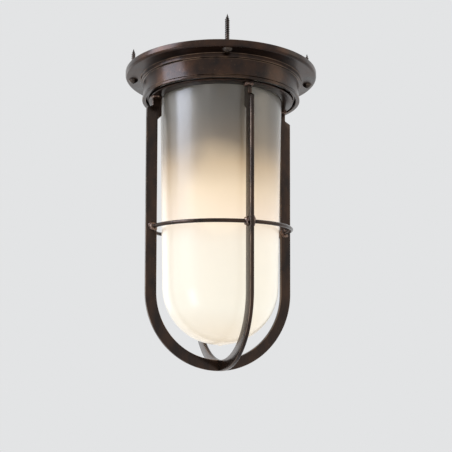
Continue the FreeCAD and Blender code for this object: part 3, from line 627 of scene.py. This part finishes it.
# how far the necks stand up into the ring, and the level where the bars bend round
NECK_SUNK = 1.0
STRAP_BEND = -189.0
# a leg's sections from the ring down to the bend: inner radius, outer radius and level
LEG = [
    (*NECK, RING_UNDER + NECK_SUNK),
    (*NECK, -33.0),
    (*SHOULDER, -35.8),
    (*SHOULDER, -41.1),
    (*BAR, -44.6),
    (*BAR, STRAP_BEND),
]
# where the bars cross: the level they meet at, halfway through them, and levels clear of them
LAP_LEVEL = STRAP_BEND - sum(BAR) / 2
ABOVE_BARS = -240.0
BELOW_BARS = -260.0
# a notch is this much wider than the other bar on either side, and its cutter reaches out so far
LAP_GAP = 0.02
LAP_REACH = 4.0


def section(mesh, loop, inner, outer, level):
    """Draw a bar's end on to its next section, from inner to outer radius at a level."""
    made = bmesh.ops.extrude_edge_only(mesh, edges=loop)["geom"]
    edges = [item for item in made if isinstance(item, bmesh.types.BMEdge)]
    verts = [item for item in made if isinstance(item, bmesh.types.BMVert)]
    middle = sum(vert.co.x for vert in verts) / len(verts)
    for vert in verts:
        far = abs(vert.co.x) > abs(middle)
        vert.co.x = math.copysign(outer if far else inner, middle) * MM
        vert.co.z = level * MM
    return edges


def strap(name, node, turn, lap_low, lap_high):
    """Flat bar on edge: necked at the ring, bent round under the glass, halved at the crossing."""
    mesh = blank()
    inner, outer, level = LEG[0]
    corners = [mesh.verts.new((x * MM, y * MM, level * MM)) for x, y in
               ((inner, -STRAP_HALF), (outer, -STRAP_HALF), (outer, STRAP_HALF), (inner, STRAP_HALF))]
    loop = [mesh.edges.new((corners[index - 1], corners[index])) for index in range(4)]
    for inner, outer, level in LEG[1:]:
        loop = section(mesh, loop, inner, outer, level)
    made = bmesh.ops.spin(mesh, geom=loop + list({vert for edge in loop for vert in edge.verts}),
                          cent=(0, 0, STRAP_BEND * MM), axis=(0, 1, 0), angle=math.pi, steps=72)
    loop = [item for item in made["geom_last"] if isinstance(item, bmesh.types.BMEdge)]
    for inner, outer, level in LEG[-2::-1]:
        loop = section(mesh, loop, inner, outer, level)
    bmesh.ops.holes_fill(mesh, edges=[edge for edge in mesh.edges if edge.is_boundary], sides=0)
    bmesh.ops.recalc_face_normals(mesh, faces=mesh.faces)
    soften(mesh, width=0.5, segments=3, angle=20)
    half = STRAP_HALF + LAP_GAP
    bar = cut(to_object(name, mesh), block((-half, -LAP_REACH, lap_low), (half, LAP_REACH, lap_high)))
    bar.data.transform(Matrix.Rotation(turn, 4, "Z"))
    finish(bar, "guard", "dark_bronze", node, material=BAR_BRONZE, smooth=30)


WIRE_RADIUS = 1.6


def wire():
    """Round wire ring threaded through the four legs."""
    mesh = blank()
    bmesh.ops.create_circle(mesh, segments=20, radius=WIRE_RADIUS * MM)
    place = Matrix.Translation((WIRE_CIRCLE * MM, 0, WIRE_LEVEL * MM)) @ Matrix.Rotation(QUARTER_TURN, 4, "X")
    bmesh.ops.transform(mesh, matrix=place, verts=mesh.verts)
    turn_round(mesh, LARGE_STEPS)
    finish(to_object("wire", mesh), "guard", "dark_bronze", "guard_wire_ring", material=BAR_BRONZE)


# the drops that make a heap of braze on one face of a leg: shift along the leg's radius, rise, half sizes
WIRE_DROPS = ((0.2, 0.0, (4.1, 2.5, 4.0)), (1.8, 1.3, (2.9, 2.1, 2.8)), (-1.0, -1.6, (2.8, 2.0, 2.7)))
WIRE_DROP_ROUGH = 0.26
# how much larger or smaller than the average a heap may be, as a share
HEAP_VARIES = 0.16
# how far a drop's middle stands off the bar's face
DROP_OFF = 0.4
# the drops that make a collar round a neck: radius, distance from the bar's middle, half sizes
NECK_DROPS = (
    (61.2, 0.2, (2.0, 2.6, 1.4)), (58.4, 2.3, (2.7, 1.5, 1.3)), (58.2, -2.3, (3.0, 1.5, 1.5)),
    (60.8, 1.8, (1.8, 1.7, 1.6)), (60.6, -1.9, (2.1, 1.8, 1.8)), (55.4, 0.0, (1.8, 2.2, 1.2)),
)
NECK_DROP_ROUGH = 0.25
# how far a drop's middle hangs under the ring
DROP_DOWN = 0.7
# how many of the noise's swells and finer ripples go to a drop's radius
SWELLS = 1.6
RIPPLES = 4.5


def lump(size, place, seed, rough):
    """One frozen drop of braze: a flattened ball with an uneven skin, its crests marked as worn and as
    painted highlight.
    """
    mesh = blank()
    wear = mesh.verts.layers.float["wear"]
    bmesh.ops.create_icosphere(mesh, subdivisions=4, radius=1.0)
    for vert in mesh.verts:
        # the seed moves each drop to its own place in the noise
        swell = noise.noise(vert.co * SWELLS + Vector((seed * 7.3, seed * 3.1, 0)))
        ripple = noise.noise(vert.co * RIPPLES + Vector((0, seed * 5.7, seed)))
        vert.co *= 1 + rough * (swell + 0.4 * ripple)
        # the crests take the pale colour: rubbed, and partly a painted highlight
        vert[wear] = max(0.0, min(1.0, 1.5 * (swell + 0.6 * ripple) + 0.2))
    bmesh.ops.scale(mesh, vec=Vector(size) * MM, verts=mesh.verts)
    bmesh.ops.transform(mesh, matrix=place, verts=mesh.verts)
    return mesh


def wire_lumps():
    """Braze where the wire enters and leaves each leg, heaped differently at each."""
    whole = blank()
    for leg in range(4):
        turn = Matrix.Rotation(leg * QUARTER_TURN, 4, "Z")
        for side in (-1, 1):
            seed = leg * 2 + side
            heap = 1.0 + HEAP_VARIES * math.sin(seed * 2.1)
            for shift, rise, size in WIRE_DROPS:
                spot = Vector((WIRE_CIRCLE + shift * side, side * (STRAP_HALF + DROP_OFF), WIRE_LEVEL + rise))
                place = turn @ Matrix.Translation(spot * MM)
                merge(whole, lump(Vector(size) * heap, place, seed + shift, WIRE_DROP_ROUGH))
    finish(to_object("wire_braze", whole), "guard", "braze", "wire_brazes", smooth=60)


def neck_lumps():
    """Braze run round each neck, under the ring."""
    whole = blank()
    for leg in range(4):
        turn = Matrix.Rotation(leg * QUARTER_TURN, 4, "Z")
        for index, (x, y, size) in enumerate(NECK_DROPS):
            place = turn @ Matrix.Translation(Vector((x, y, RING_UNDER - DROP_DOWN)) * MM)
            merge(whole, lump(size, place, leg * len(NECK_DROPS) + index, NECK_DROP_ROUGH))
    finish(to_object("neck_braze", whole), "guard", "braze", "strap_brazes", smooth=60)


# ---- lamp ------------------------------------------------------------------------------------

# the bulb: a ball on the end of a tube, its arc running from the tube's end to its foot
BALL_CENTRE = -105.3
BALL_DEGREES = 120
FOOT_INSIDE = -134.6
TUBE_TOP = -33.0
TUBE_OUTSIDE = 12.5
TUBE_INSIDE = 11.9
# the stretch where the tube widens into the ball, whose corners are smoothed away
WIDENING_TOP = -54.0
WIDENING_UNDER = -88.0
SMOOTHINGS = 2


def bulb():
    """Round lamp blown from one tube, its neck drawn into the cap."""
    outline = Outline(TUBE_OUTSIDE, TUBE_TOP)
    outline.line((TUBE_OUTSIDE, -52.7), (14.2, -62.0), (17.6, -72.0), (22.2, -82.0), (25.98, -90.3))
    outline.arc(0, BALL_CENTRE, BALL_DEGREES, steps=28)
    outline.line((0, FOOT_INSIDE)).arc(0, BALL_CENTRE, -BALL_DEGREES, steps=28)
    outline.line((21.6, -82.3), (17.0, -72.3), (13.6, -62.2), (TUBE_INSIDE, -52.8), (TUBE_INSIDE, TUBE_TOP))
    mesh = outline.close().turn(LAMP_STEPS)
    for _ in range(SMOOTHINGS):
        widening = [vert for vert in mesh.verts if WIDENING_UNDER * MM < vert.co.z < WIDENING_TOP * MM]
        bmesh.ops.smooth_vert(mesh, verts=widening, factor=0.5, use_axis_x=True, use_axis_y=True)
    finish(to_object("lamp_bulb", mesh), "lamp", "lamp_glass", "lamp_envelope", smooth=60)


# the cap: a thin shell with a hole in its top, shouldered above and flared at its mouth
CAP_TOP = -29.7
CAP_MOUTH = -52.7
CAP_BORE = 8.5
CAP_OUTSIDE = 12.35
CAP_INSIDE = 11.9
LAMP_PITCH = 3.629


def cap():
    """Lamp cap with its rolled thread."""
    outline = Outline(CAP_BORE, -30.3).line((CAP_BORE, CAP_TOP), (9.2, CAP_TOP), (11.8, -31.0))
    outline.line((CAP_OUTSIDE, -32.2), (CAP_OUTSIDE, -52.2), (12.9, CAP_MOUTH), (12.5, CAP_MOUTH))
    outline.line((CAP_INSIDE, -52.0), (CAP_INSIDE, -32.4), (8.9, -30.3)).close()
    mesh = outline.turn(LAMP_STEPS)
    thread(mesh, root=12.2, crest=13.0, width=3.0, pitch=LAMP_PITCH, bottom=-51.6, turns=4.6, steps=60)
    finish(to_object("lamp_cap", mesh), "lamp", "nickel", "lamp_screw_base", smooth=50)


# ---- floor, light and camera, in metres ------------------------------------------------------

BACKDROP = "#e3e4e5"
PAPER = "#f4f4f2"
FLOOR_LEVEL = -1.0
FLOOR_RADIUS = 9.0
# the paper is itself out to the first radius, and all backdrop from the second
PAPER_WHOLE = 0.35
PAPER_GONE = 1.3
FIBRE_MM = 2.5
FIBRE_DEEP_MM = 0.2
# the softboxes aim at this level on the lantern's axis
AIM_LEVEL = -0.12
# name, turn and lift about the lantern in degrees, distance, width and height, radiance, tint
SOFTBOXES = (
    ("key_left", -92, 27, 1.1, (0.64, 0.8), 7.6, "#e2ebff"),
    ("strip_left", -78, -22, 1.0, (0.26, 0.5), 3.0, "#dfeaff"),
    ("rim_behind_left", -157, -4, 1.0, (0.36, 0.5), 1.0, "#eef0f2"),
    ("fill_right", 60, 20, 1.4, (0.7, 0.7), 0.9, "#ffedd2"),
)
SURROUND = "#f6f8ff"
SURROUND_STRENGTH = 0.36


def looked_at(tree):
    """1 for a ray from the camera, a mirror or clear glass, and 0 for one that only brings light."""
    rays = add(tree, "LightPath")
    glossy = add(tree, "Math", {"operation": "MAXIMUM"},
                 {0: (rays, "Is Camera Ray"), 1: (rays, "Is Glossy Ray")})
    return add(tree, "Math", {"operation": "MAXIMUM"}, {0: (glossy, 0), 1: (rays, "Is Transmission Ray")})


def floor():
    """Pale paper that keeps the shadow near the lantern and runs off into the backdrop."""
    mesh = bmesh.new()
    bmesh.ops.create_circle(mesh, cap_ends=True, segments=96, radius=FLOOR_RADIUS)
    bmesh.ops.translate(mesh, verts=mesh.verts, vec=(0, 0, FLOOR_LEVEL))
    sheet = to_object("floor", mesh)
    material, tree = begin("pale_paper")
    place = add(tree, "TexCoord")
    flat = add(tree, "Mapping", {"Scale": (1, 1, 0)}, {"Vector": (place, "Object")})
    away = add(tree, "VectorMath", {"operation": "LENGTH"}, {0: (flat, 0)})
    far = add(tree, "MapRange", {
        "From Min": PAPER_WHOLE, "From Max": PAPER_GONE, "interpolation_type": "SMOOTHSTEP"},
        {"Value": (away, "Value")})
    seen = looked_at(tree)
    share = add(tree, "Math", {"operation": "MULTIPLY"}, {0: (far, 0), 1: (seen, 0)})
    fibre = add(tree, "TexNoise", {"Scale": per_metre(FIBRE_MM), "Detail": 3.0},
                {"Vector": (place, "Object")})
    skin = add(tree, "Bump", {"Strength": 0.2, "Distance": FIBRE_DEEP_MM * MM}, {"Height": (fibre, "Fac")})
    paper = add(tree, "BsdfPrincipled", {"Base Color": colour(PAPER), "Roughness": 0.9},
                {"Normal": (skin, 0)})
    backdrop = add(tree, "Emission", {"Color": colour(BACKDROP)})
    mix = add(tree, "MixShader", links={0: (share, 0), 1: (paper, 0), 2: (backdrop, 0)})
    add(tree, "OutputMaterial", links={"Surface": (mix, 0)})
    sheet.data.materials.append(material)


def softbox(name, turn, lift, distance, size, radiance, tint):
    """A softbox aimed at the middle of the lantern, placed by its angles about it."""
    data = bpy.data.lights.new(name, "AREA")
    data.shape = "RECTANGLE"
    data.size, data.size_y = size
    data.energy = radiance * math.pi * size[0] * size[1]
    data.color = colour(tint)[:3]
    box = bpy.data.objects.new(name, data)
    bpy.context.collection.objects.link(box)
    turn, lift = math.radians(turn), math.radians(lift)
    away = Vector((math.sin(turn) * math.cos(lift), -math.cos(turn) * math.cos(lift), math.sin(lift)))
    box.location = Vector((0, 0, AIM_LEVEL)) + away * distance
    box.rotation_euler = away.to_track_quat("Z", "Y").to_euler()
    box.visible_camera = False


def studio_light():
    """Even pale surroundings, brighter to the eye and to mirrors than the light they give."""
    world = bpy.data.worlds.new("studio")
    world.use_nodes = True
    tree = world.node_tree
    tree.nodes.clear()
    seen = looked_at(tree)
    light = add(tree, "Background", {"Color": colour(SURROUND), "Strength": SURROUND_STRENGTH})
    backdrop = add(tree, "Background", {"Color": colour(BACKDROP), "Strength": 1.0})
    mix = add(tree, "MixShader", links={0: (seen, 0), 1: (light, 0), 2: (backdrop, 0)})
    add(tree, "OutputWorld", links={"Surface": (mix, 0)})
    bpy.context.scene.world = world


def camera():
    """The camera, turned about the lantern to the photograph's side."""
    data = bpy.data.cameras.new("camera")
    data.sensor_width = SENSOR_WIDTH
    data.lens = FOCAL_PIXELS / PICTURE_PIXELS * SENSOR_WIDTH
    data.shift_y = SHIFT_PIXELS / PICTURE_PIXELS
    viewer = bpy.data.objects.new("camera", data)
    bpy.context.collection.objects.link(viewer)
    turn = Matrix.Rotation(CAMERA_TURN, 4, "Z")
    place = Matrix.Translation((0, -CAMERA_DISTANCE, CAMERA_HEIGHT))
    aim = Matrix.Rotation(-CAMERA_YAW, 4, "Z") @ Matrix.Rotation(QUARTER_TURN + CAMERA_PITCH, 4, "X")
    viewer.matrix_world = turn @ place @ aim @ Matrix.Rotation(CAMERA_ROLL, 4, "Z")
    bpy.context.scene.camera = viewer


housing()
ceiling_screws()
jar()
ring()
strap("strap_x", "guard_strap_x", 0.0, LAP_LEVEL, ABOVE_BARS)
strap("strap_y", "guard_strap_y", QUARTER_TURN, BELOW_BARS, LAP_LEVEL)
wire()
wire_lumps()
neck_lumps()
bulb()
cap()
floor()
for settings in SOFTBOXES:
    softbox(*settings)
studio_light()
camera()
bpy.context.scene.view_settings.view_transform = "Standard"
